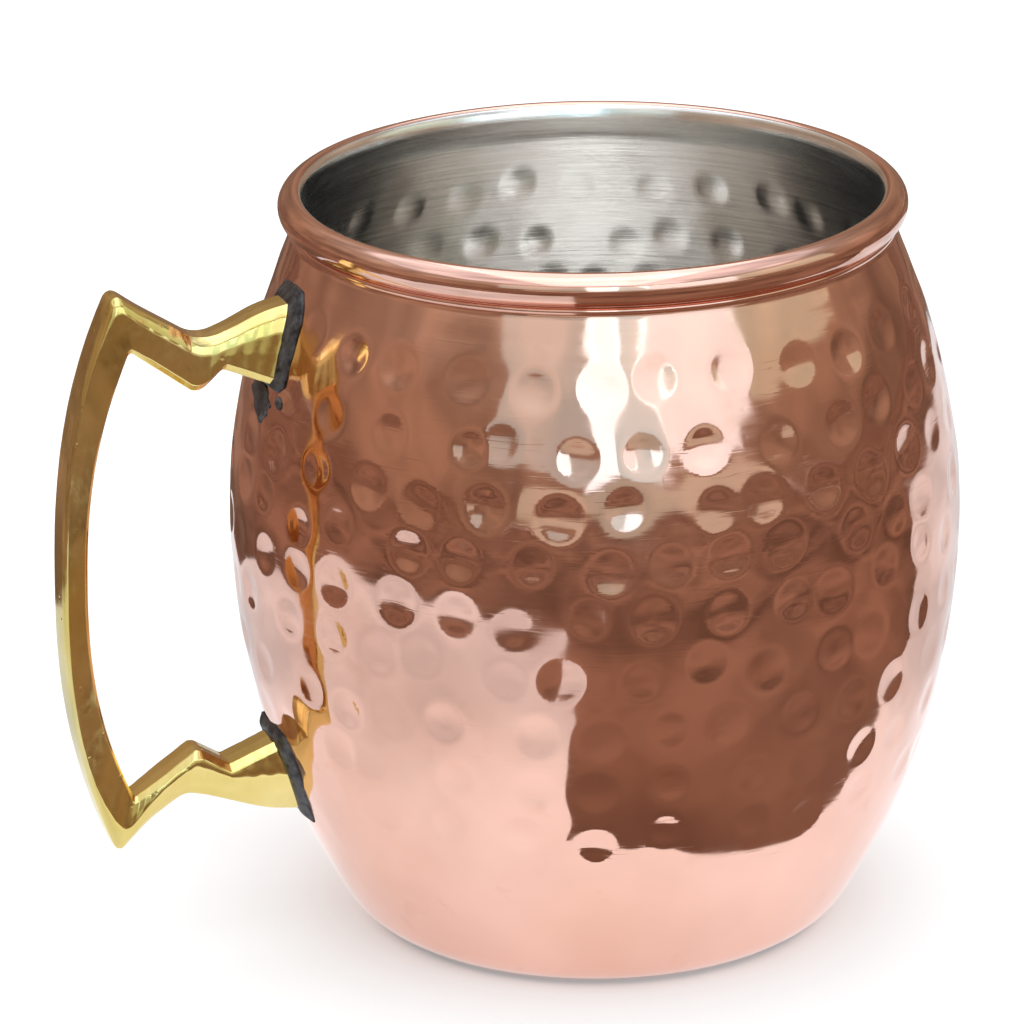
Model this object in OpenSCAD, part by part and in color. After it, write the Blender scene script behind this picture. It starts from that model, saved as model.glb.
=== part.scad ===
// Hammered copper barrel mug with a nickel lining and a cast brass handle.
// Millimetres, +Z up. The origin is the centre of the base, on the mug's axis,
// and the handle reaches out along -X.

/* [Barrel] */
// Height of the mug from the base to the top of the rim
mug_h = 97.6; // [96:0.2:100]
// Outer radius of the barrel at its widest
belly_r = 47.1; // [46.4:0.1:47.8]
// Height of the widest ring above the base
belly_z = 52.8; // [51.4:0.2:54.2]
// Outer radius of the neck, just under the rim
neck_r = 37.7; // [37.3:0.1:38.1]
// Radius of the flat face that the mug stands on
foot_r = 26.3; // [24:0.1:28]
// Radius of the rounded corner between the base and the wall
foot_round = 8.4; // [7:0.1:10]
// Thickness of the copper sheet
wall = 0.8; // [0.6:0.05:1]
// Thickness of the nickel lining
lining_t = 0.3; // [0.2:0.05:0.4]

/* [Rolled rim] */
// Outer radius of the rolled rim
rim_r = 40; // [39.8:0.1:40.4]
// Height of the roll, from its underside to its top
roll_h = 4.2; // [3.8:0.1:4.6]
// Slit between the tucked-in edge of the roll and the neck
roll_slit = 0.35; // [0.25:0.05:0.45]
// Radius at which the lining ends, on the inner side of the roll
lining_edge_r = 37.4; // [37.2:0.1:37.6]

/* [Handle] */
// Distance from the mug's axis to the outside of the grip
handle_reach = 71.8; // [71:0.2:75]
// Height of the middle of the handle
handle_z = 53.3; // [52.9:0.1:53.7]
// Height of the upper corner's tip above the middle of the handle
upper_tip = 37.6; // [37:0.1:38.2]
// Depth of the lower corner's tip below the middle of the handle
lower_tip = 37.3; // [36.7:0.1:37.9]
// Radial thickness of the grip at its middle
grip_t = 3.2; // [2.8:0.1:4]
// Half of the width of the grip and the arms
half_w = 2.9; // [2.6:0.1:3.2]
// Half of the width of the two feet
foot_half_w = 3.7; // [3.4:0.1:4]
// Depth of the chamfer along the inner side of the arms
arm_chamfer = 0.95; // [0.7:0.05:1.1]

/* [Solder] */
// How far the solder spreads over the copper on each side of a foot
solder_spread = 1.9; // [1.4:0.1:2.4]
// How far the solder climbs up each foot
solder_climb = 1.8; // [1.4:0.1:2.2]
// Thickness of the solder that ran down the barrel
run_t = 0.4; // [0.3:0.05:0.6]

/* [Hidden] */
$fn = 96;

// Clearance that keeps neighbouring solids from overlapping
gap = 0.02;
// Overlap that fuses two stretches of one piece
lap = 0.1;
// Steps in each arc of the barrel, in its rounded corner and in each half turn of the roll
arc_steps = 16;
corner_steps = 8;
roll_steps = 12;

// The rim roll is a ring with a slot-shaped section, and the neck is its inner side
roll_r = (rim_r - neck_r + wall) / 2;
roll_bottom = mug_h - roll_h;
roll_low_z = roll_bottom + roll_r;
roll_high_z = mug_h - roll_r;

// Upper arc of the barrel: its centre is level with the belly
shoulder_rise = roll_bottom - belly_z;
shoulder_in = belly_r - neck_r;
upper_arc = (shoulder_rise * shoulder_rise + shoulder_in * shoulder_in) / (2 * shoulder_in);
upper_cx = belly_r - upper_arc;

// Lower arc of the barrel: level with the belly too, and tangent to the rounded corner
haunch_in = belly_r - foot_r;
haunch_rise = belly_z - foot_round;
lower_arc = (haunch_in * haunch_in + haunch_rise * haunch_rise - foot_round * foot_round)
    / (2 * (haunch_in - foot_round));
lower_cx = belly_r - lower_arc;
corner_angle = asin(haunch_rise / (lower_arc - foot_round));

// The handle's two arms, each from its foot to its corner, as stations of [outer point, inner
// point, half width, bevel depth, chamfer]. A point is [distance from the mug's axis, height
// above the middle of the handle].
upper_arm = [
    [[40.2, 33.9], [44.2, 23.8], foot_half_w, 3.4, arm_chamfer],
    [[44.6, 33.1], [47, 25], foot_half_w - 0.3, 2.9, arm_chamfer],
    [[48.7, 31.3], [50.3, 26.3], half_w + 0.2, 2.2, arm_chamfer],
    [[51.4, 30.4], [52.9, 24], half_w, 2, arm_chamfer],
    [[53.6, 30.6], [54.2, 23.8], half_w, 1.9, arm_chamfer],
    [[60.2, 34.9], [60.2, 28.4], half_w, 1.8, arm_chamfer],
    [[63.8, upper_tip], [62.3, 30.1], half_w, 1.7, 0.7]
];
lower_arm = [
    [[40.3, -34.5], [44, -24.4], foot_half_w, 6, arm_chamfer],
    [[45.6, -33.9], [47.2, -25.6], foot_half_w - 0.3, 5.2, arm_chamfer],
    [[50.3, -32.2], [50.7, -26.9], half_w + 0.2, 3.6, arm_chamfer],
    [[53.8, -30.9], [54.3, -24.6], half_w, 4.1, arm_chamfer],
    [[56.6, -30.2], [55.1, -24.5], half_w, 4, arm_chamfer],
    [[61.3, -33.1], [60.4, -28], half_w, 3.4, arm_chamfer],
    [[65.7, -lower_tip], [63.3, -29.9], half_w, 3.2, 0.7]
];
upper_corner = upper_arm[len(upper_arm) - 1];
lower_corner = lower_arm[len(lower_arm) - 1];
grip_bevel = 0.45;
grip_chamfer = 0.5;
grip_steps = 9;
// How squarely the grip bulges between the corners: 2 is a plain arc
grip_fullness = 2.4;

// Width of the handle's outer face, as a share of its full width
outer_face = 0.58;

// Solder that ran down the barrel, as rows of [height, middle, half width]
wide_run = [[76.2, 1.2, 4.6], [74.6, 1, 4.2], [73, -0.2, 2.6], [71.4, -1.2, 0.8]];
thin_run = [[76, -5.2, 0.3], [75.2, -5.6, 0.5], [74.5, -6, 0.3]];

// Radius of the barrel's outer surface at a height between the corner and the neck
function barrel_r(z) = z > belly_z
    ? upper_cx + sqrt(upper_arc * upper_arc - (z - belly_z) * (z - belly_z))
    : lower_cx + sqrt(lower_arc * lower_arc - (z - belly_z) * (z - belly_z));

// The point straight in from "p" that stands "lift" off the barrel's surface
function on_barrel(p, lift) =
    let (r = barrel_r(p[2]) + lift)
    [-sqrt(r * r - p[1] * p[1]), p[1], p[2]];

function lay(points, lift) = [for (p = points) on_barrel(p, lift)];

// Distance from the axis, at height "k", of a curve that bulges out to "peak" halfway from
// the point "top" to the point "bottom"
function bulge(peak, top, bottom, k) =
    let (mid = (top[1] + bottom[1]) / 2, half = (top[1] - bottom[1]) / 2,
         u = (k - mid) / half,
         chord = (top[0] + bottom[0]) / 2 + (top[0] - bottom[0]) / 2 * u)
    chord + (peak - (top[0] + bottom[0]) / 2) * (1 - pow(abs(u), grip_fullness));

// A station of the grip, from the upper corner at t = 1 to the lower one at t = -1
function grip_station(t) =
    let (end = t > 0 ? upper_corner : lower_corner,
         outer_k = mix(lower_corner[0][1], upper_corner[0][1], (t + 1) / 2),
         inner_k = mix(lower_corner[1][1], upper_corner[1][1], (t + 1) / 2))
    [[bulge(handle_reach, upper_corner[0], lower_corner[0], outer_k), outer_k],
     [bulge(handle_reach - grip_t, upper_corner[1], lower_corner[1], inner_k), inner_k],
     half_w, mix(grip_bevel, end[3], pow(abs(t), 8)), grip_chamfer];

stations = concat(
    upper_arm,
    [for (i = [grip_steps - 1 : -1 : 1 - grip_steps]) grip_station(i / grip_steps)],
    [for (i = [len(lower_arm) - 1 : -1 : 0]) lower_arm[i]]
);

// One side of the handle's section as [sideways, depth]: a narrow outer face, a rounded bevel,
// a flat side and a chamfer down to the inner face
function half_section(w, bevel, t, chamfer) = [
    [w * outer_face, 0],
    [w * (outer_face + 1) / 2 + min(bevel, 2) * 0.1, bevel * 0.4],
    [w, bevel],
    [w, t - chamfer],
    [w - chamfer * 0.8, t]
];

function section(s) =
    let (across = s[1] - s[0], t = norm(across), dir = across / t,
         half = half_section(s[2], s[3], t, s[4]), n = len(half),
         loop = concat(half, [for (i = [n - 1 : -1 : 0]) [-half[i][0], half[i][1]]]))
    [for (p = loop) [-(s[0][0] + dir[0] * p[1]), p[0], handle_z + s[0][1] + dir[1] * p[1]]];

// A station made larger: sideways, past its outer face and past its inner face
function grow(s, sides, over, under) =
    let (dir = (s[1] - s[0]) / norm(s[1] - s[0]))
    [s[0] - dir * over, s[1] + dir * under, s[2] + sides, s[3], s[4]];

function mix(a, b, t) = a * (1 - t) + b * t;

// Section of a run of solder: domed outside, flat against the barrel
function run_section(row) =
    concat([for (u = [-1 : 0.5 : 1])
                on_barrel([0, row[1] + row[2] * u, row[0]], gap * 2 + run_t * (1 - u * u))],
           [for (u = [0.75 : -0.5 : -0.75])
                on_barrel([0, row[1] + row[2] * u, row[0]], gap)]);

// A solid through a list of loops, in triangles. "ring" joins the last loop to the first one.
module skin(loops, ring = false) {
    n = len(loops[0]);
    last = len(loops) - 1;
    sides = [for (i = [0 : ring ? last : last - 1], j = [0 : n - 1])
        let (k = (i + 1) % (last + 1), m = (j + 1) % n)
        each [[i * n + j, i * n + m, k * n + m], [i * n + j, k * n + m, k * n + j]]];
    caps = ring ? [] : [for (j = [1 : n - 2])
        each [[0, j + 1, j], [last * n, last * n + j, last * n + j + 1]]];
    polyhedron(points = [for (l = loops) each l], faces = concat(sides, caps), convexity = 6);
}

// Points along an arc, without its last one
function arc(centre, r, from, to, steps) =
    [for (i = [0 : steps - 1])
        let (a = from + (to - from) * i / steps) centre + r * [cos(a), sin(a)]];

// 2D section of everything inside the barrel's outer surface, moved inwards by "inset"
module barrel_section(inset = 0) {
    r = upper_arc - inset;
    neck_angle = asin(shoulder_rise / r);
    polygon(concat(
        [[0, inset]],
        arc([foot_r, foot_round], foot_round - inset, -90, -corner_angle, corner_steps),
        arc([lower_cx, belly_z], lower_arc - inset, -corner_angle, 0, arc_steps),
        arc([upper_cx, belly_z], r, 0, neck_angle, arc_steps),
        [[upper_cx + r * cos(neck_angle), roll_bottom], [0, roll_bottom]]
    ));
}

// Slot-shaped section of the rim roll, made smaller by "inset"
module roll_section(inset = 0) {
    r = roll_r - inset;
    polygon(concat(
        arc([rim_r - roll_r, roll_high_z], r, 0, 180, roll_steps),
        [[rim_r - roll_r - r, roll_high_z]],
        arc([rim_r - roll_r, roll_low_z], r, 180, 360, roll_steps),
        [[rim_r - roll_r + r, roll_low_z]]
    ));
}

module copper_shell() {
    color([0.80, 0.47, 0.35])
    rotate_extrude() {
        difference() {
            barrel_section();
            barrel_section(wall);
            translate([0, belly_z]) square([neck_r - wall, mug_h]);
        }
        translate([neck_r - wall, roll_bottom - lap]) square([wall, roll_r + lap]);
        difference() {
            roll_section();
            roll_section(wall);
            translate([neck_r, roll_bottom]) square([roll_slit, roll_r]);
        }
    }
}

module nickel_lining() {
    lining_r = neck_r - wall - lining_t;
    color([0.62, 0.62, 0.60])
    rotate_extrude() {
        difference() {
            barrel_section(wall);
            barrel_section(wall + lining_t);
            translate([0, belly_z]) square([lining_r, mug_h]);
        }
        translate([lining_r, roll_bottom - lining_t])
            square([lining_t, roll_r + lining_t + lap]);
        intersection() {
            difference() {
                roll_section(-lining_t);
                roll_section();
            }
            translate([lining_r, roll_low_z]) square([lining_edge_r - lining_r, roll_h]);
        }
    }
}

module handle() {
    last = len(stations) - 1;
    color([0.83, 0.66, 0.27])
    skin([for (i = [0 : last])
        let (points = section(stations[i]))
        i == 0 || i == last ? lay(points, gap) : points]);
}

// Solder around a foot: it spreads over the copper, past the outer face by "over" and past the
// inner face by "under", and climbs a little way up the foot
module solder_joint(foot, next, over, under) {
    climbed = mix(foot, next, solder_climb / norm(next[0] - foot[0]));
    skin(ring = true, loops = [
        lay(section(grow(foot, gap, gap, gap)), gap),
        lay(section(grow(foot, solder_spread, over, under)), gap),
        lay(section(grow(foot, solder_spread * 0.8, over * 0.8, under * 0.8)), 0.45),
        lay(section(grow(foot, solder_spread * 0.45, over * 0.45, under * 0.45)), 0.9),
        section(grow(climbed, 0.4, 0.3, 0.3)),
        section(grow(climbed, gap, gap, gap))
    ]);
}

module upper_solder_joint() {
    color([0.30, 0.29, 0.30])
    solder_joint(upper_arm[0], upper_arm[1], 1.6, 0.6);
}

module lower_solder_joint() {
    color([0.30, 0.29, 0.30])
    mirror([0, 1, 0]) solder_joint(lower_arm[0], lower_arm[1], 1.5, 1.5);
}

module solder_run() {
    color([0.26, 0.25, 0.26]) {
        skin([for (row = wide_run) run_section(row)]);
        skin([for (row = thin_run) run_section(row)]);
    }
}

copper_shell();
nickel_lining();
handle();
upper_solder_joint();
lower_solder_joint();
solder_run();
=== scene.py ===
"""Looks for a hammered copper barrel mug with a nickel lining and a cast brass handle."""

import math

import bpy
import numpy as np
from mathutils import Matrix, Quaternion, Vector

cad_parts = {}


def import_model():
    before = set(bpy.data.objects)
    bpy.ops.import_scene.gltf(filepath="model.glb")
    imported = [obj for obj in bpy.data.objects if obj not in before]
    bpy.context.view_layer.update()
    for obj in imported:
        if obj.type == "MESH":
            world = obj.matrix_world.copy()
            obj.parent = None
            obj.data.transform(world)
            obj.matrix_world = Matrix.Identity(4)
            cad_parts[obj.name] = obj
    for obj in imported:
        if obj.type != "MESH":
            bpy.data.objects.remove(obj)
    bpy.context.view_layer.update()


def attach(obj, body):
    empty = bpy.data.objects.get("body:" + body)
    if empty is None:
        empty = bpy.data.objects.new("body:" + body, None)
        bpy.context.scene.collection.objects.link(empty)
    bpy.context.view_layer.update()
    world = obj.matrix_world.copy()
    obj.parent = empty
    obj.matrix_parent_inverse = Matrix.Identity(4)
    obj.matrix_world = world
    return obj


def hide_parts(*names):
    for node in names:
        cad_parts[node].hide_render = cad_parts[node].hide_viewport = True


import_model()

TAU = math.tau

# Sizes in millimetres, the same as in the CAD model
MUG_H = 97.6
BELLY_R = 47.1
BELLY_Z = 52.8
NECK_R = 37.7
FOOT_R = 26.3
FOOT_ROUND = 8.4
WALL = 0.8
LINING = 0.3
RIM_R = 40.0
ROLL_H = 4.2
HANDLE_REACH = 71.8
HANDLE_Z = 53.3
GRIP_T = 3.2
HALF_W = 2.9
FOOT_HALF_W = 3.7
ARM_CHAMFER = 0.95

# The barrel is two arcs that meet at the belly
ROLL_BOTTOM = MUG_H - ROLL_H
SHOULDER_RISE = ROLL_BOTTOM - BELLY_Z
SHOULDER_IN = BELLY_R - NECK_R
SHOULDER_ARC = (SHOULDER_RISE**2 + SHOULDER_IN**2) / (2 * SHOULDER_IN)
HAUNCH_RISE = BELLY_Z - FOOT_ROUND
HAUNCH_IN = BELLY_R - FOOT_R
HAUNCH_ARC = (HAUNCH_IN**2 + HAUNCH_RISE**2 - FOOT_ROUND**2) / (2 * (HAUNCH_IN - FOOT_ROUND))
CORNER_ANGLE = math.asin(HAUNCH_RISE / (HAUNCH_ARC - FOOT_ROUND))

# The rim roll's section, and the thin ring tucked in under it
ROLL_MID_R = RIM_R - (RIM_R - NECK_R + WALL) / 2
ROLL_MID_Z = ROLL_BOTTOM + ROLL_H / 2
ROLL_HALF_R = RIM_R - ROLL_MID_R
ROLL_HALF_Z = ROLL_H / 2
ROLL_LEAN = 0.5
TUCKED_RING = [
    (0.0, -1.12),
    (0.02, -1.02),
    (0.3, -0.98),
    (0.42, -0.85),
    (0.44, -0.6),
    (0.38, -0.36),
    (0.2, -0.27),
    (-0.1, -0.22),
    (-0.12, 0.1),
]

# The angle of the side that the camera looks at
NEAR_SIDE = math.radians(-110)

# Rows of hammer marks: height, and how many go round. They rise a little to the far side, and
# are all gone at the height MARKS_END.
MARK_RADIUS = (2.45, 3.05)
MARK_DEPTH = (0.16, 0.36)
MARKS_RISE = 1.4
MARKS_END = 12
SMOOTH_BELOW = 17
DIMPLE_ROWS = [
    (84.2, 30),
    (76.2, 32),
    (69.1, 33),
    (62.2, 34),
    (55.5, 35),
    (48.0, 34),
    (40.2, 33),
    (32.6, 31),
    (25.4, 29),
]


# ---------------------------------------------------------------- meshes


def mesh_object(name, points, faces):
    mesh = bpy.data.meshes.new(name)
    mesh.from_pydata((np.asarray(points) * 0.001).tolist(), [], faces)
    mesh.polygons.foreach_set("use_smooth", [True] * len(mesh.polygons))
    mesh.update()
    obj = bpy.data.objects.new(name, mesh)
    bpy.context.scene.collection.objects.link(obj)
    return obj


def skin(name, loops, ring=False):
    """A closed mesh through loops of points. ring joins the last loop to the first one, and
    without it both ends close to a point in their middle."""
    loops = np.asarray(loops, float)
    rows, cols = loops.shape[:2]
    points = loops.reshape(-1, 3)
    i, j = np.meshgrid(np.arange(rows if ring else rows - 1), np.arange(cols), indexing="ij")
    k = (i + 1) % rows
    m = (j + 1) % cols
    quads = np.stack([i * cols + j, i * cols + m, k * cols + m, k * cols + j], -1)
    faces = quads.reshape(-1, 4).tolist()
    if not ring:
        start = len(points)
        points = np.vstack([points, loops[0].mean(0), loops[-1].mean(0)])
        top = (rows - 1) * cols
        for j in range(cols):
            m = (j + 1) % cols
            faces.append([start, m, j])
            faces.append([start + 1, top + j, top + m])
    return mesh_object(name, points, faces)


def lathe(name, r, z):
    """A closed solid of turning, from the radius and the height of each point of each row."""
    angles = np.arange(r.shape[1]) * TAU / r.shape[1]
    return skin(name, np.stack([r * np.cos(angles), r * np.sin(angles), z], -1))


def rounded(corners, cut, t):
    """Points at t along a polyline, whose corner i is at t = i. Each corner is rounded off over
    the length cut[i] on both of its sides."""
    corners = np.asarray(corners, float)
    last = len(corners) - 1
    lengths = np.linalg.norm(np.diff(corners, axis=0), axis=1)
    found = []
    for at in t:
        seg = min(int(at), last - 1)
        u = at - seg
        point = corners[seg] * (1 - u) + corners[seg + 1] * u
        near = int(round(at))
        if 0 < near < last and cut[near] > 0:
            before = min(cut[near] / lengths[near - 1], 0.48)
            after = min(cut[near] / lengths[near], 0.48)
            share = (at - (near - before)) / (before + after)
            if 0 < share < 1:
                a = corners[near] + (corners[near - 1] - corners[near]) * before
                b = corners[near] + (corners[near + 1] - corners[near]) * after
                keep = 1 - share
                point = a * keep**2 + corners[near] * 2 * keep * share + b * share**2
        found.append(point)
    return np.array(found)


# ---------------------------------------------------------------- the barrel


def barrel_r(z):
    """Radius of the barrel's outer surface at a height between the corner and the neck."""
    z = np.asarray(z, float)
    up = BELLY_R - SHOULDER_ARC + np.sqrt(SHOULDER_ARC**2 - (z - BELLY_Z) ** 2)
    down = BELLY_R - HAUNCH_ARC + np.sqrt(HAUNCH_ARC**2 - (z - BELLY_Z) ** 2)
    return np.where(z > BELLY_Z, up, down)


def wall_rows(rows):
    """The barrel's wall as rows of [radius, height, normal out, normal up, length along]."""
    neck_angle = math.asin(SHOULDER_RISE / SHOULDER_ARC)
    haunch = HAUNCH_ARC * CORNER_ANGLE
    shoulder = SHOULDER_ARC * neck_angle
    found = []
    for length in np.linspace(-haunch, shoulder, rows):
        arc = SHOULDER_ARC if length > 0 else HAUNCH_ARC
        a = length / arc
        r = BELLY_R - arc + arc * math.cos(a)
        found.append([r, BELLY_Z + arc * math.sin(a), math.cos(a), math.sin(a), length])
    return np.array(found)


def corner_arc(offset, steps):
    """The round corner at the base, moved in by offset, from just under its upper end down."""
    radius = FOOT_ROUND - offset
    turns = np.linspace(-CORNER_ANGLE, -math.pi / 2, steps)[1:]
    return [[FOOT_R + radius * math.cos(a), FOOT_ROUND + radius * math.sin(a)] for a in turns]


def offset_profile(offset):
    """The barrel's profile moved in by offset, from under the roll down to the base."""
    wall = [[r - offset * out, z - offset * up] for r, z, out, up, _ in wall_rows(26)[::-1]]
    return wall + corner_arc(offset, 7)


def thinned(wall):
    """The wall's rows, with two of three left out near the base, where it is smooth."""
    return wall[(wall[:, 1] > SMOOTH_BELOW) | (np.arange(len(wall)) % 3 == 0)]


def moved_in(wall, depth):
    """The radii and heights of the wall's rows after each point is moved in by its depth."""
    return wall[:, 0:1] - depth * wall[:, 2:3], wall[:, 1:2] - depth * wall[:, 3:4]


def plain_rows(pairs, cols):
    """The radii and heights of rows that are the same all round, from [radius, height]."""
    pairs = np.array(pairs, float)
    return np.repeat(pairs[:, 0:1], cols, axis=1), np.repeat(pairs[:, 1:2], cols, axis=1)


def roll_point(a, proud=0.0):
    """A point of the roll's section, which leans in a little towards its top."""
    r = ROLL_MID_R + (ROLL_HALF_R + proud) * math.cos(a) - ROLL_LEAN * max(math.sin(a), 0) ** 2
    return [max(r, NECK_R - WALL - proud), ROLL_MID_Z + (ROLL_HALF_Z + proud) * math.sin(a)]


def along_wall(z):
    arc = SHOULDER_ARC if z > BELLY_Z else HAUNCH_ARC
    return arc * math.asin((z - BELLY_Z) / arc)


def hammer_marks():
    """Each hammer mark as [angle, height, radius, depth]. They fade out towards the base."""
    rng = np.random.default_rng(41)
    marks = []
    for height, count in DIMPLE_ROWS:
        start = rng.uniform(0, 1)
        fade = np.clip((height - MARKS_END) / 17, 0, 1)
        for i in range(count):
            angle = (i + start + rng.normal(0, 0.12)) * TAU / count
            radius = rng.uniform(*MARK_RADIUS) * (0.85 + 0.15 * fade)
            depth = rng.uniform(*MARK_DEPTH) * fade
            lift = MARKS_RISE * (1 - math.cos(angle - NEAR_SIDE)) / 2 + rng.normal(0, 0.55)
            marks.append([angle, height + lift, radius, depth])
    return marks


MARKS = hammer_marks()


def dents(wall, cols, edge, grown=0.0):
    """Depth of the hammer marks at each point of the wall. edge is how soft their rims are."""
    angles = np.arange(cols) * TAU / cols
    depth = np.zeros((len(wall), cols))
    for angle, height, radius, deep in MARKS:
        radius += grown
        r = float(barrel_r(height))
        across = ((angles - angle + math.pi) % TAU - math.pi) * r / radius
        along = (wall[:, 4] - along_wall(height)) / radius
        i = np.flatnonzero(np.abs(along) < 1.6)
        j = np.flatnonzero(np.abs(across) < 1.6)
        q = along[i, None] ** 2 + across[None, j] ** 2
        t = deep * (1 - q)
        h = 0.5 * (t + np.sqrt(t * t + edge * edge))
        spot = np.ix_(i, j)
        depth[spot] = np.maximum(depth[spot], h - 0.5 * edge * edge / (3 * deep))
    return depth


def ripples(wall, cols):
    """The uneven surface between the hammer marks, which smooths out at the neck."""
    rng = np.random.default_rng(7)
    angles = np.arange(cols) * TAU / cols
    total = np.zeros((len(wall), cols))
    for waves, height in [(5, 0.05), (9, 0.03), (17, 0.016), (27, 0.012), (38, 0.008)]:
        for _ in range(4):
            around = waves + int(rng.integers(-waves // 4, waves // 4 + 1))
            up = rng.uniform(-1, 1) * waves / BELLY_R * 1.3
            shift = rng.uniform(0, TAU)
            total += height * np.cos(around * angles[None, :] + up * wall[:, 4:5] + shift)
    calm = np.clip((ROLL_BOTTOM - 1.5 - wall[:, 1]) / 7, 0, 1) * np.clip(wall[:, 1] / 30, 0.2, 1)
    return total * calm[:, None]


def copper_shell():
    cols = 480
    ring_base = ROLL_BOTTOM + TUCKED_RING[0][1]
    wall = wall_rows(142)
    wall = thinned(wall[wall[:, 1] < ring_base - 0.13])
    # The surface lies just inside the CAD barrel, and meets it at the ring and the base
    sunk = 0.08
    depth = dents(wall, cols, 0.03) + sunk + ripples(wall, cols)
    settle_top = np.clip((ring_base - 0.08 - wall[:, 1]) / 3, 0, 1)
    settle_base = np.clip((wall[:, 1] - 4) / 6, 0, 1)
    depth *= (settle_top * settle_base)[:, None]

    base = [[2, 0.35], [12, 0.3], [20, 0.12], [24, 0.02]] + corner_arc(0, 9)[::-1]
    neck = float(barrel_r(ROLL_BOTTOM - 1.1))
    tucked_ring = [[neck + out, ROLL_BOTTOM + up] for out, up in TUCKED_RING]
    roll = [roll_point(a) for a in np.radians(np.linspace(-86, 180, 27))]
    inner_side = [[NECK_R - WALL, ROLL_BOTTOM]] + offset_profile(WALL) + [[2, WALL]]
    parts = [
        plain_rows(base, cols),
        moved_in(wall, depth),
        plain_rows(tucked_ring + roll + inner_side, cols),
    ]
    r, z = (np.vstack(rows) for rows in zip(*parts))
    return lathe("CopperShell", r, z)


def nickel_lining():
    cols = 600
    inset = WALL + LINING
    wall = wall_rows(106)
    wall = thinned(wall[wall[:, 1] < ROLL_BOTTOM - 0.5])
    depth = dents(wall, cols, 0.02, -0.4) + ripples(wall, cols) * 0.6 + inset

    # Outer side, hidden by the shell, from the middle of the base up to the edge
    skim = WALL + 0.06
    outer_side = [[2, skim]] + offset_profile(skim)[::-1] + [[NECK_R - skim, ROLL_MID_Z]]
    edge = math.radians(118)
    outer_side += [roll_point(a, -0.03) for a in np.linspace(math.pi, edge, 7)]
    # The lining thickens from its edge down to the neck
    for a in np.linspace(edge, math.pi, 8):
        proud = 0.05 + (LINING - 0.05) * (a - edge) / (math.pi - edge)
        outer_side.append(roll_point(a, proud))
    neck = [[NECK_R - inset, ROLL_BOTTOM + 0.8], [NECK_R - inset, ROLL_BOTTOM]]
    floor_inside = corner_arc(inset, 9) + [[20, inset], [12, inset + 0.05], [2, inset + 0.1]]
    parts = [
        plain_rows(outer_side + neck, cols),
        [rows[::-1] for rows in moved_in(wall, depth)],
        plain_rows(floor_inside, cols),
    ]
    r, z = (np.vstack(rows) for rows in zip(*parts))
    return lathe("NickelLining", r, z)


# ---------------------------------------------------------------- the handle

# The two arms, each from its foot to its corner: [distance from the axis, height above the
# handle's middle] of the outer and the inner side, half width, bevel depth, chamfer, and how
# far the outer and the inner corner are rounded
UPPER_ARM = [
    [(40.2, 33.9), (44.2, 23.8), FOOT_HALF_W, 3.4, ARM_CHAMFER, 0.0, 0.0],
    [(44.6, 33.1), (47.0, 25.0), FOOT_HALF_W - 0.3, 2.9, ARM_CHAMFER, 2.0, 1.0],
    [(48.7, 31.3), (50.3, 26.3), HALF_W + 0.2, 2.2, ARM_CHAMFER, 1.3, 0.4],
    [(51.4, 30.4), (52.9, 24.0), HALF_W, 2.0, ARM_CHAMFER, 1.1, 0.6],
    [(53.6, 30.6), (54.2, 23.8), HALF_W, 1.9, ARM_CHAMFER, 1.1, 0.6],
    [(60.2, 34.9), (60.2, 28.4), HALF_W, 1.8, ARM_CHAMFER, 1.5, 1.5],
    [(63.8, 37.6), (62.3, 30.1), HALF_W, 1.7, 0.7, 1.8, 0.8],
]
LOWER_ARM = [
    [(40.3, -34.5), (44.0, -24.4), FOOT_HALF_W, 6.0, ARM_CHAMFER, 0.0, 0.0],
    [(45.6, -33.9), (47.2, -25.6), FOOT_HALF_W - 0.3, 5.2, ARM_CHAMFER, 2.0, 1.0],
    [(50.3, -32.2), (50.7, -26.9), HALF_W + 0.2, 3.6, ARM_CHAMFER, 1.5, 0.3],
    [(53.8, -30.9), (54.3, -24.6), HALF_W, 4.1, ARM_CHAMFER, 1.2, 0.3],
    [(56.6, -30.2), (55.1, -24.5), HALF_W, 4.0, ARM_CHAMFER, 1.2, 0.3],
    [(61.3, -33.1), (60.4, -28.0), HALF_W, 3.4, ARM_CHAMFER, 1.5, 1.5],
    [(65.7, -37.3), (63.3, -29.9), HALF_W, 3.2, 0.7, 1.5, 0.5],
]
GRIP_BEVEL = 0.45
GRIP_CHAMFER = 0.5
GRIP_FULLNESS = 2.4
SIDE_LEAN = 0.17
SUNK_IN = 0.15


def bulge(peak, top, bottom, k):
    """Distance from the axis, at height k, of a curve that bulges out to peak halfway from the
    point top to the point bottom."""
    u = (k - (top[1] + bottom[1]) / 2) / ((top[1] - bottom[1]) / 2)
    middle = (top[0] + bottom[0]) / 2
    chord = middle + (top[0] - bottom[0]) / 2 * u
    return chord + (peak - middle) * (1 - abs(u) ** GRIP_FULLNESS)


def handle_stations():
    top = UPPER_ARM[-1]
    bottom = LOWER_ARM[-1]
    middle = []
    steps = 12
    for i in range(steps - 1, -steps, -1):
        t = i / steps
        share = (t + 1) / 2
        outer_k = bottom[0][1] + (top[0][1] - bottom[0][1]) * share
        inner_k = bottom[1][1] + (top[1][1] - bottom[1][1]) * share
        end = top if t > 0 else bottom
        bevel = GRIP_BEVEL + (end[3] - GRIP_BEVEL) * abs(t) ** 8
        outer = (bulge(HANDLE_REACH, top[0], bottom[0], outer_k), outer_k)
        inner = (bulge(HANDLE_REACH - GRIP_T, top[1], bottom[1], inner_k), inner_k)
        middle.append([outer, inner, HALF_W, bevel, GRIP_CHAMFER, 0.8, 0.8])
    return UPPER_ARM + middle + LOWER_ARM[::-1]


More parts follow.
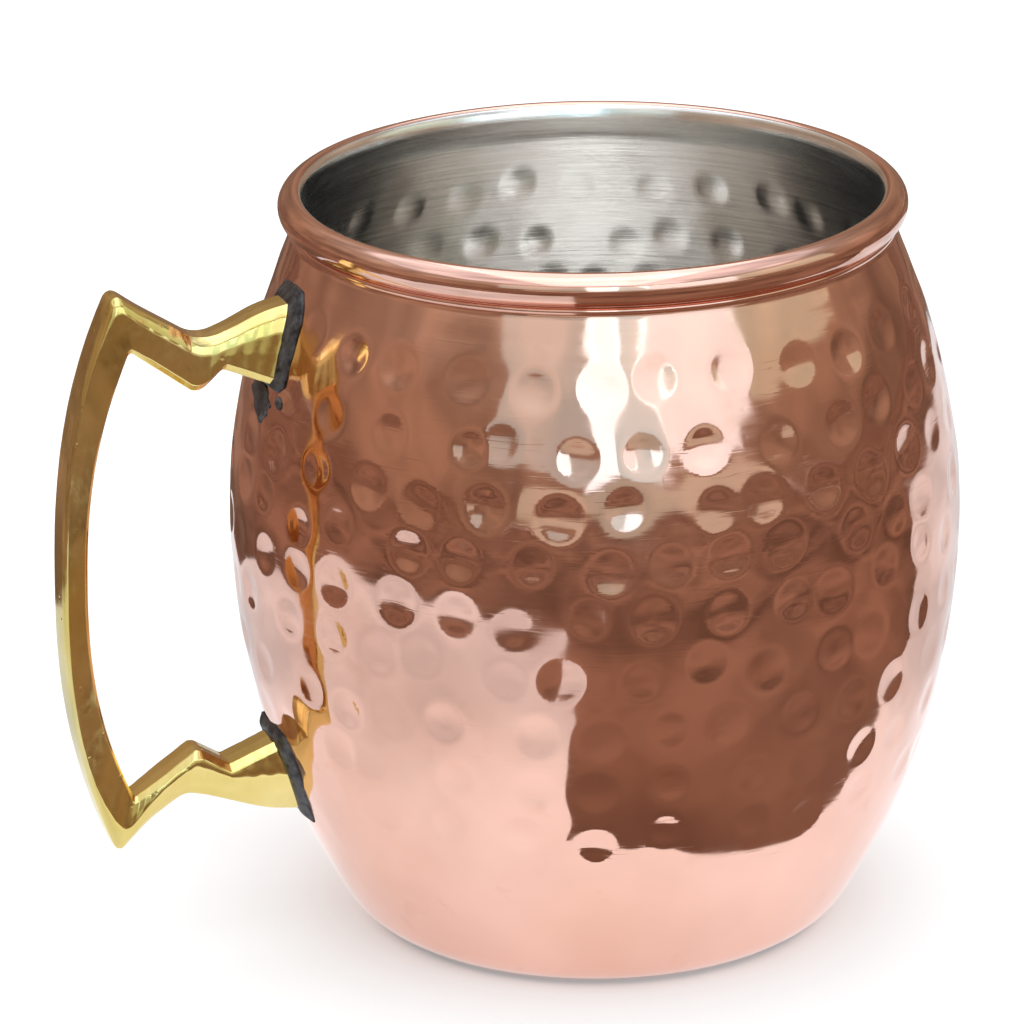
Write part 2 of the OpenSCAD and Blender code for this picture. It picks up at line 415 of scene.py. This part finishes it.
def half_section(w, bevel, t, chamfer, lean):
    """One side of the section as [sideways, depth]: the outer face, the round bevel, the flat
    side and the chamfer down to the inner face. lean is how far the side draws in per mm."""
    inner_w = w - lean * (t - chamfer - bevel)
    corners = [
        (0, 0.0),
        (w * 0.58, 0.04),
        (w * 0.79 + min(bevel, 2.0) * 0.1, bevel * 0.4),
        (w, bevel),
        ((w + inner_w) / 2 + 0.03, (bevel + t - chamfer) / 2),
        (inner_w, t - chamfer),
        (inner_w - chamfer * 0.8, t),
        (0, t + 0.05),
    ]
    cut = [0, 0.2, bevel * 0.5, min(bevel, 1.2) * 0.3, 0.3, 0.12, 0.12, 0]
    within = np.array([0, 0.04, 0.09, 0.15, 0.25, 0.38, 0.5, 0.62, 0.75, 0.85, 0.91, 0.96])
    at = np.concatenate([within + i for i in range(len(corners) - 1)] + [[len(corners) - 1.0]])
    return rounded(corners, cut, at)


def section(outer, inner, w, bevel, chamfer, lean=0.0):
    across = inner - outer
    t = float(np.linalg.norm(across))
    half = half_section(w, min(bevel, t - chamfer - 0.2), t, chamfer, lean)
    left = half[-2:0:-1] * [-1, 1]
    loop = np.vstack([half, left])
    flat = outer + np.outer(loop[:, 1], across / t)
    return np.stack([-flat[:, 0], loop[:, 0], HANDLE_Z + flat[:, 1]], -1)


def lay(points, lift):
    """The points moved straight in along X until they stand lift off the barrel's surface."""
    points = np.array(points, float)
    r = barrel_r(points[:, 2]) + lift
    points[:, 0] = -np.sqrt(np.maximum(r * r - points[:, 1] ** 2, 1))
    return points


def handle_path():
    """Dense stations along the handle: outer and inner points, half width, bevel, chamfer."""
    stations = handle_stations()
    last = len(stations) - 1
    outer = np.array([s[0] for s in stations])
    inner = np.array([s[1] for s in stations])
    t = []
    for i in range(last):
        length = np.linalg.norm(outer[i + 1] - outer[i])
        arm = i < len(UPPER_ARM) - 1 or i > last - len(LOWER_ARM)
        count = max(8, int(length / 0.2)) if arm else max(5, int(length / 0.6))
        t += [i + k / count for k in range(count)]
    t.append(last)
    outer = rounded(outer, [s[5] for s in stations], t)
    inner = rounded(inner, [s[6] for s in stations], t)
    whole = np.arange(last + 1)
    sizes = [np.interp(t, whole, [s[column] for s in stations]) for column in (2, 3, 4)]
    return outer, inner, *sizes


def handle():
    outer, inner, w, bevel, chamfer = handle_path()
    rng = np.random.default_rng(3)
    count = len(w)
    run = np.arange(count)
    uneven = sum(
        rng.uniform(0.01, 0.025) * np.sin(run * k / count * TAU + rng.uniform(0, TAU))
        for k in (7, 12, 19, 31)
    )
    # The flat sides face up a little on the arms
    lean = SIDE_LEAN * np.clip(-outer[:, 1] / 20, -0.6, 1)
    sizes = zip(outer, inner, w + uneven, bevel, chamfer, lean)
    loops = [section(*station) for station in sizes]
    loops[0] = lay(loops[0], -SUNK_IN)
    loops[-1] = lay(loops[-1], -SUNK_IN)
    return skin("BrassHandle", loops)


# ---------------------------------------------------------------- the solder


SOLDER_STEPS = 15
SOLDER_CLIMB = 1.2
SOLDER_SPREAD = 1.7
SOLDER_RISE = 0.8


def wobble(rng, count, waves, height):
    """A smooth closed curve of noise with one value for each of count points."""
    a = np.arange(count) * TAU / count
    total = np.zeros(count)
    for k in waves:
        total += rng.normal(0, height) * np.cos(k * a + rng.uniform(0, TAU))
    return total


def solder_joint(name, end, over, under, seed):
    """Solder round a foot of the handle: a lumpy ring that spreads over the copper and climbs
    a little way up the foot. end is 0 for the upper foot and -1 for the lower one. over and
    under are how far it spreads past the foot's outer and inner side."""
    order = slice(None) if end == 0 else slice(None, None, -1)
    outer, inner, w, bevel, chamfer = [values[order] for values in handle_path()]
    away = np.linalg.norm(outer - outer[0], axis=1)
    rng = np.random.default_rng(seed)
    points = len(section(outer[0], inner[0], w[0], bevel[0], chamfer[0]))
    edge = wobble(rng, points, (2, 3, 5, 7), 0.12)
    lump = wobble(rng, points, (3, 5, 8, 12), 0.04)
    loops = []
    for t in np.linspace(0, 1, SOLDER_STEPS):
        at = int(np.searchsorted(away, SOLDER_CLIMB * t**1.5))
        along = inner[at] - outer[at]
        along = along / np.linalg.norm(along)
        spread = (1 - t) ** 1.5
        thick = 0.25 * (1 - t)
        o = outer[at] - along * (over * spread + thick)
        i = inner[at] + along * (under * spread + thick)
        loop = section(o, i, w[at] + SOLDER_SPREAD * spread + thick, bevel[at], chamfer[at])
        out = loop - loop.mean(0)
        out[:, 0] = 0
        out /= np.linalg.norm(out, axis=1)[:, None]
        loop = loop + out * (edge * spread)[:, None]
        # Low on the copper at the outer edge, and up against the foot at the inner one
        on = lay(loop, 0.0)
        swell = math.sin(min(t * 1.4, 1) * math.pi / 2)
        on[:, 0] -= 0.06 + SOLDER_RISE * swell + lump * math.sin(t * math.pi)
        share = t**2
        loop[:, 0] = on[:, 0] * (1 - share) + np.minimum(loop[:, 0], on[:, 0]) * share
        loops.append(loop)
    loops.insert(0, lay(loops[0], -0.2))
    inside = (w[at] - 0.3, bevel[at], chamfer[at])
    loops.append(section(outer[at], inner[at], *inside))
    loops.append(lay(section(outer[0], inner[0], *inside), -0.25))
    return skin(name, loops if end == 0 else [loop[::-1] for loop in loops], ring=True)


def solder_run(name, rows, seed):
    """Solder that ran down the barrel, through rows of [height, middle, half width]."""
    rng = np.random.default_rng(seed)
    rows = np.array(rows)
    order = np.argsort(rows[:, 0])
    steps = 26
    z = np.linspace(rows[:, 0].min(), rows[:, 0].max(), steps)
    middle = np.interp(z, rows[order, 0], rows[order, 1])
    half = np.interp(z, rows[order, 0], rows[order, 2])
    half = half * (1 + 0.12 * np.sin(z * 4.1 + seed)) + 0.05 * rng.normal(size=steps)
    ends = np.sin(np.linspace(0, math.pi, steps)) ** 0.45
    half = np.maximum(half * ends, 0.05)
    u = np.linspace(-1, 1, 13)
    loops = []
    for i in range(steps):
        y = middle[i] + half[i] * u
        line = np.stack([np.zeros_like(u), y, np.full_like(u, z[i])], -1)
        dome = 0.38 * (1 - u**2) * ends[i] * (1 + 0.25 * np.sin(u * 5 + z[i] * 3))
        over = lay(line, 0.0)
        over[:, 0] -= np.maximum(dome, 0) + 0.02
        under = lay(line[1:-1][::-1], -0.3)
        loops.append(np.vstack([over, under]))
    return skin(name, loops)


# ---------------------------------------------------------------- materials


class Material:
    """A node tree with a Principled shader, and short ways to add to it."""

    def __init__(self, name, **sockets):
        self.material = bpy.data.materials.new(name)
        self.material.use_nodes = True
        self.tree = self.material.node_tree
        self.shader = self.tree.nodes["Principled BSDF"]
        self.place = self.add("ShaderNodeTexCoord").outputs["Object"]
        for socket, value in sockets.items():
            self.shader.inputs[socket.replace("_", " ")].default_value = value

    def add(self, kind, inputs=None, **settings):
        node = self.tree.nodes.new(kind)
        for key, value in settings.items():
            setattr(node, key, value)
        for key, value in (inputs or {}).items():
            if isinstance(value, bpy.types.NodeSocket):
                self.tree.links.new(value, node.inputs[key])
            else:
                node.inputs[key].default_value = value
        return node

    def noise(self, scale, stretch=(1, 1, 1), detail=3.0, rough=0.5, shift=0.0):
        """Noise with so many features to the millimetre, stretched along the axes."""
        size = [scale * 1000 * s for s in stretch]
        place = self.add(
            "ShaderNodeMapping",
            {"Vector": self.place, "Scale": size, "Location": (shift, shift * 0.7, shift * 1.3)},
        )
        inputs = {"Vector": place.outputs[0], "Scale": 1.0, "Detail": detail, "Roughness": rough}
        return self.add("ShaderNodeTexNoise", inputs).outputs["Fac"]

    def cells(self, scale, shift=0.0):
        place = self.add(
            "ShaderNodeMapping",
            {"Vector": self.place, "Scale": [scale * 1000] * 3, "Location": (shift, 0, shift)},
        )
        return self.add("ShaderNodeTexVoronoi", {"Vector": place.outputs[0], "Scale": 1.0}).outputs[
            "Distance"
        ]

    def remap(self, value, low, high, to_low=0.0, to_high=1.0):
        inputs = {
            "Value": value,
            "From Min": low,
            "From Max": high,
            "To Min": to_low,
            "To Max": to_high,
        }
        return self.add("ShaderNodeMapRange", inputs, clamp=True).outputs["Result"]

    def math(self, operation, a, b):
        node = self.add("ShaderNodeMath", operation=operation)
        for socket, value in zip(node.inputs, (a, b)):
            if isinstance(value, bpy.types.NodeSocket):
                self.tree.links.new(value, socket)
            else:
                socket.default_value = value
        return node.outputs[0]

    def mix(self, share, a, b):
        node = self.add("ShaderNodeMix", data_type="RGBA")
        for key, value in ((0, share), (6, a), (7, b)):
            socket = node.inputs[key]
            if isinstance(value, bpy.types.NodeSocket):
                self.tree.links.new(value, socket)
            elif key == 0:
                socket.default_value = value
            else:
                socket.default_value = (*value, 1.0)
        return node.outputs[2]

    def bump(self, height, distance, strength=1.0, under=None):
        inputs = {"Height": height, "Distance": distance * 0.001, "Strength": strength}
        if under is not None:
            inputs["Normal"] = under
        return self.add("ShaderNodeBump", inputs).outputs["Normal"]

    def set(self, socket, value):
        self.tree.links.new(value, self.shader.inputs[socket])


def copper_material():
    m = Material("HammeredCopper", Metallic=1.0)
    cloud = m.noise(0.03, detail=4)
    tint = m.mix(m.remap(cloud, 0.35, 0.68), (0.82, 0.47, 0.365), (0.88, 0.54, 0.44))
    stain = m.remap(m.noise(0.16, detail=6, shift=3), 0.60, 0.74)
    m.set("Base Color", m.mix(m.math("MULTIPLY", stain, 0.35), tint, (0.70, 0.36, 0.25)))
    streak = m.noise(0.35, (0.12, 0.12, 4.0), 4, 0.6)
    smear = m.noise(0.08, (1, 1, 0.6), 4, 0.6, 5)
    rough = m.math("ADD", m.remap(streak, 0.3, 0.7, 0.03, 0.09), m.remap(smear, 0.45, 0.7, 0, 0.08))
    m.set("Roughness", rough)
    brushed = m.bump(streak, 0.004)
    pits = m.remap(m.cells(0.35), 0.02, 0.16, 0, 1)
    pitted = m.bump(pits, 0.01, 0.35, brushed)
    scratch = m.remap(m.noise(0.2, (0.5, 0.5, 9.0), 2, 0.5, 9), 0.62, 0.68)
    m.set("Normal", m.bump(scratch, 0.003, 0.6, pitted))
    return m.material


def nickel_material():
    m = Material("BrushedNickel", Metallic=1.0)
    rings = m.noise(0.5, (0.06, 0.06, 5.0), 5, 0.65)
    cloud = m.noise(0.05, detail=4, shift=2)
    tone = m.math("ADD", m.math("MULTIPLY", rings, 0.6), m.math("MULTIPLY", cloud, 0.4))
    m.set("Base Color", m.mix(m.remap(tone, 0.35, 0.65), (0.76, 0.74, 0.71), (0.97, 0.94, 0.90)))
    m.set("Roughness", m.remap(tone, 0.35, 0.65, 0.11, 0.22))
    fine = m.bump(rings, 0.05, 0.7)
    grain = m.noise(1.6, detail=3, shift=4)
    m.set("Normal", m.bump(grain, 0.01, 0.4, fine))
    return m.material


def brass_material():
    m = Material("CastBrass", Metallic=1.0)
    cloud = m.noise(0.06, detail=4)
    m.set("Base Color", m.mix(m.remap(cloud, 0.35, 0.65), (0.76, 0.58, 0.18), (0.90, 0.75, 0.33)))
    grain = m.noise(0.9, detail=5, rough=0.6, shift=1)
    m.set("Roughness", m.remap(grain, 0.3, 0.75, 0.07, 0.2))
    filed = m.noise(0.25, (7.0, 0.3, 0.8), 3, 0.5, 6)
    pits = m.remap(m.cells(0.45, 2), 0.05, 0.16)
    marks = m.bump(filed, 0.012, 0.6)
    m.set("Normal", m.bump(pits, 0.03, 0.6, marks))
    return m.material


def solder_material():
    m = Material("OxidisedSolder", Metallic=0.75)
    lumps = m.noise(0.8, detail=5, rough=0.6)
    tone = m.remap(lumps, 0.35, 0.65)
    m.set("Base Color", m.mix(tone, (0.035, 0.033, 0.036), (0.12, 0.115, 0.12)))
    m.set("Roughness", m.remap(lumps, 0.3, 0.7, 0.32, 0.6))
    m.set("Normal", m.bump(lumps, 0.12, 0.8))
    return m.material


def paper_material(name, colour, uneven=0.0, size=0.01, glow=0.0, near_glow=0.0):
    """Matt paper or paint. uneven is how much its tone varies, in patches of 1/size mm. glow
    lights all of it, and near_glow only the part in the mug's own shadow."""
    m = Material(name, Roughness=0.9)
    sockets = m.shader.inputs
    sockets["Specular IOR Level"].default_value = 0.0
    sockets["Base Color"].default_value = (*colour, 1)
    sockets["Emission Color"].default_value = (*colour, 1)
    sockets["Emission Strength"].default_value = glow
    if uneven:
        low = [c * (1 - uneven) for c in colour]
        high = [min(c * (1 + uneven), 1.0) for c in colour]
        patches = m.noise(size, detail=3, shift=2)
        m.set("Base Color", m.mix(m.remap(patches, 0.35, 0.65), low, high))
    # Painted light: the paper glows most next to the mug, where the mug's own shadow falls on it,
    # and not at all from 110 mm out
    if near_glow:
        away = m.add("ShaderNodeVectorMath", {0: m.place}, operation="LENGTH").outputs["Value"]
        m.set("Emission Strength", m.remap(away, 0.045, 0.11, near_glow, 0.0))
    return m.material


# ---------------------------------------------------------------- camera, floor and lights


# In metres, degrees of yaw, pitch and roll, and millimetres of focal length
CAMERA_PLACE = Vector((-0.2573, -0.7070, 0.3221))
CAMERA_AIM = Vector((0, 0, 0.05))
CAMERA_TURN = (0.767, 0.229, 0.395)
CAMERA_LENS = 217.4


def camera():
    """A long lens, 0.8 m away, 20 degrees round from the mug's near side and 20 above it. It
    looks at the mug's axis, and then turns a little away to frame the mug and its handle."""
    forward = (CAMERA_AIM - CAMERA_PLACE).normalized()
    right = forward.cross(Vector((0, 0, 1))).normalized()
    up = right.cross(forward)
    yaw, pitch, roll = [math.radians(angle) for angle in CAMERA_TURN]
    turned = Quaternion(up, yaw)
    forward, right = turned @ forward, turned @ right
    forward = Quaternion(right, pitch) @ forward
    right = Quaternion(forward, roll) @ right
    up = right.cross(forward)
    data = bpy.data.cameras.new("Camera")
    data.lens = CAMERA_LENS
    data.clip_start = 0.05
    obj = bpy.data.objects.new("Camera", data)
    bpy.context.scene.collection.objects.link(obj)
    turn = Matrix((right, up, -forward)).transposed().to_4x4()
    obj.matrix_world = Matrix.Translation(CAMERA_PLACE) @ turn
    bpy.context.scene.camera = obj


def towards(azimuth, elevation, distance=1.0):
    """A place seen from the mug: azimuth 0 is towards the camera, and 90 is to its right."""
    a = math.radians(azimuth) + NEAR_SIDE
    e = math.radians(elevation)
    return Vector((math.cos(a) * math.cos(e), math.sin(a) * math.cos(e), math.sin(e))) * distance


def softbox(name, wide, high, power, colour, matrix):
    data = bpy.data.lights.new(name, "AREA")
    data.shape = "RECTANGLE"
    data.size = wide
    data.size_y = high
    data.energy = power
    data.color = colour
    obj = bpy.data.objects.new(name, data)
    bpy.context.scene.collection.objects.link(obj)
    obj.matrix_world = matrix


def flat_piece(name, outline, height, material):
    mesh = bpy.data.meshes.new(name)
    mesh.from_pydata([(x, y, height) for x, y in outline], [], [list(range(len(outline)))])
    mesh.materials.append(material)
    obj = bpy.data.objects.new(name, mesh)
    bpy.context.scene.collection.objects.link(obj)
    return obj


def floor():
    white = paper_material("FloorPaint", (0.8, 0.8, 0.8), glow=0.22)
    flat_piece("Floor", [(-3, -3), (3, -3), (3, 3), (-3, 3)], 0.0, white)


def card(name, places, height, material):
    """A card on the floor that only the metal sees. places are [right, towards the camera]."""
    outline = []
    for right, front in places:
        place = (towards(90, 0) * right + towards(0, 0) * front) * 0.001
        outline.append((place.x, place.y))
    obj = flat_piece(name, outline, height, material)
    obj.visible_camera = False
    obj.visible_diffuse = False
    obj.visible_shadow = False
    obj.visible_transmission = False


def cards():
    """A dark table top, and the pale sheet of paper that the mug stands on, cut so that its
    nearest edge shows low down in the right half of the barrel."""
    far = 3200
    table = [(-far, -far), (far, -far), (far, far), (-far, far)]
    wood = paper_material("TableTop", (0.19, 0.112, 0.078), 0.4, 0.012)
    card("Table", table, 0.0004, wood)
    sheet = [(-8, 60), (14, 56), (32, 42), (47, 27), (72, 14), (98, 2), (126, -36)]
    sheet += [(300, -110), (260, -330), (-20, -260), (-110, -105), (-190, -60)]
    sheet += [(-240, 60), (-210, 170), (-120, 205), (-25, 215)]
    # The sheet's glow near the mug is painted light, filling in the mug's own shadow on it as the
    # copper reflects it
    white = paper_material("PaperSheet", (0.62, 0.635, 0.655), 0.12, 0.02, near_glow=0.76)
    card("Paper", sheet, 0.0008, white)


# How near to overhead, from 0 to 1, and the colour there
ROOM_TO_SKY = [
    (0.0, (0.30, 0.20, 0.14)),
    (0.30, (0.36, 0.25, 0.18)),
    (0.54, (0.46, 0.38, 0.31)),
    (0.66, (0.52, 0.47, 0.43)),
    (0.71, (1.05, 1.08, 1.16)),
    (0.93, (1.05, 1.08, 1.16)),
    (1.0, (1.5, 1.55, 1.6)),
]


def sky_and_room(tree, way):
    """What the metal reflects: a dim warm room with patches in it, under a bright sky."""
    height = tree.nodes.new("ShaderNodeVectorMath")
    height.operation = "DOT_PRODUCT"
    height.inputs[1].default_value = towards(0, 86)
    tree.links.new(way, height.inputs[0])
    ramp = tree.nodes.new("ShaderNodeValToRGB")
    tree.links.new(height.outputs["Value"], ramp.inputs[0])
    while len(ramp.color_ramp.elements) < len(ROOM_TO_SKY):
        ramp.color_ramp.elements.new(0.5)
    for element, (at, colour) in zip(ramp.color_ramp.elements, ROOM_TO_SKY):
        element.position = at
        element.color = (*colour, 1)
    clutter = tree.nodes.new("ShaderNodeTexNoise")
    clutter.inputs["Scale"].default_value = 2.4
    clutter.inputs["Detail"].default_value = 3.0
    tree.links.new(way, clutter.inputs["Vector"])
    tone = tree.nodes.new("ShaderNodeMapRange")
    for socket, value in zip(("From Min", "From Max", "To Min", "To Max"), (0.35, 0.65, 0.6, 1.35)):
        tone.inputs[socket].default_value = value
    tree.links.new(clutter.outputs["Fac"], tone.inputs["Value"])
    room = tree.nodes["Background"]
    tree.links.new(ramp.outputs["Color"], room.inputs["Color"])
    tree.links.new(tone.outputs["Result"], room.inputs["Strength"])
    return room.outputs[0]


def world():
    """A room and a sky for the metal, and even light for everything else."""
    studio = bpy.data.worlds.new("Studio")
    bpy.context.scene.world = studio
    studio.use_nodes = True
    tree = studio.node_tree
    way = tree.nodes.new("ShaderNodeTexCoord").outputs["Generated"]
    even = tree.nodes.new("ShaderNodeBackground")
    even.inputs["Color"].default_value = (1.0, 1.0, 1.0, 1)
    even.inputs["Strength"].default_value = 1.15
    path = tree.nodes.new("ShaderNodeLightPath")
    pick = tree.nodes.new("ShaderNodeMixShader")
    tree.links.new(path.outputs["Is Glossy Ray"], pick.inputs[0])
    tree.links.new(even.outputs[0], pick.inputs[1])
    tree.links.new(sky_and_room(tree, way), pick.inputs[2])
    tree.links.new(pick.outputs[0], tree.nodes["World Output"].inputs["Surface"])


MUG_MIDDLE = Vector((0, 0, 0.05))
WINDOW_DISTANCE = 1.6

# The panes of the windows that the metal shows: name, azimuths and elevations of their edges
# in degrees, brightness and colour
WINDOWS = [
    ("PaneLeft", -33, -2, 9.5, 35, 1.5, (0.48, 0.86, 0.97)),
    ("PaneBright", -2, 8.5, 7, 36, 7.0, (0.60, 0.85, 1.0)),
    ("PaneMiddle", 8.5, 19.5, 7, 36, 3.1, (0.50, 0.87, 1.0)),
    ("PaneRight", 19.5, 52, 8, 36, 4.3, (0.62, 0.85, 1.0)),
    ("PaneFar", 54, 96, 14, 38, 1.3, (0.68, 1.0, 0.84)),
    ("Sill", -24, 58, 0.5, 6.5, 1.2, (0.78, 1.0, 0.90)),
]


def window_pane(name, start, end, low, high, glow, colour):
    """A light that fills the given azimuths and elevations, and faces the mug's middle."""
    wide = 2 * WINDOW_DISTANCE * math.tan(math.radians(end - start) / 2)
    tall = 2 * WINDOW_DISTANCE * math.tan(math.radians(high - low) / 2)
    away = towards((start + end) / 2, (low + high) / 2, WINDOW_DISTANCE)
    facing = away.to_track_quat("Z", "Y").to_matrix().to_4x4()
    matrix = Matrix.Translation(away + MUG_MIDDLE) @ facing
    softbox(name, wide, tall, glow * wide * tall, colour, matrix)


def lights():
    for pane in WINDOWS:
        window_pane(*pane)
    # Overhead, with its long side along the camera's view
    axes = Matrix((towards(90, 0), -towards(0, 0), Vector((0, 0, 1)))).transposed()
    matrix = Matrix.Translation((0, 0, 1.35)) @ axes.to_4x4()
    softbox("Skylight", 0.85, 2.6, 5.0, (0.85, 1.0, 1.1), matrix)


# ---------------------------------------------------------------- the mug


def place_piece(obj, material, slot, *nodes):
    obj.data.materials.append(material)
    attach(obj, "root")
    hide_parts(*nodes)


def build():
    brass = brass_material()
    solder = solder_material()
    place_piece(copper_shell(), copper_material(), "copper", "copper_shell")
    place_piece(nickel_lining(), nickel_material(), "nickel", "nickel_lining")
    place_piece(handle(), brass, "brass", "handle")
    upper = solder_joint("UpperSolderJoint", 0, 1.3, 0.5, 11)
    place_piece(upper, solder, "solder", "upper_solder_joint")
    lower = solder_joint("LowerSolderJoint", -1, 1.3, 1.3, 12)
    place_piece(lower, solder, "solder", "lower_solder_joint")
    wide = [(76.2, 1.2, 4.6), (74.6, 1.0, 4.2), (73.0, -0.2, 2.6), (71.4, -1.2, 0.8)]
    thin = [(76.0, -5.2, 0.3), (75.2, -5.6, 0.5), (74.5, -6.0, 0.3)]
    place_piece(solder_run("SolderRun", wide, 5), solder, "solder", "solder_run")
    place_piece(solder_run("SolderDrip", thin, 6), solder, "solder", "solder_run")


build()
camera()
floor()
cards()
world()
lights()
bpy.context.scene.view_settings.view_transform = "Standard"
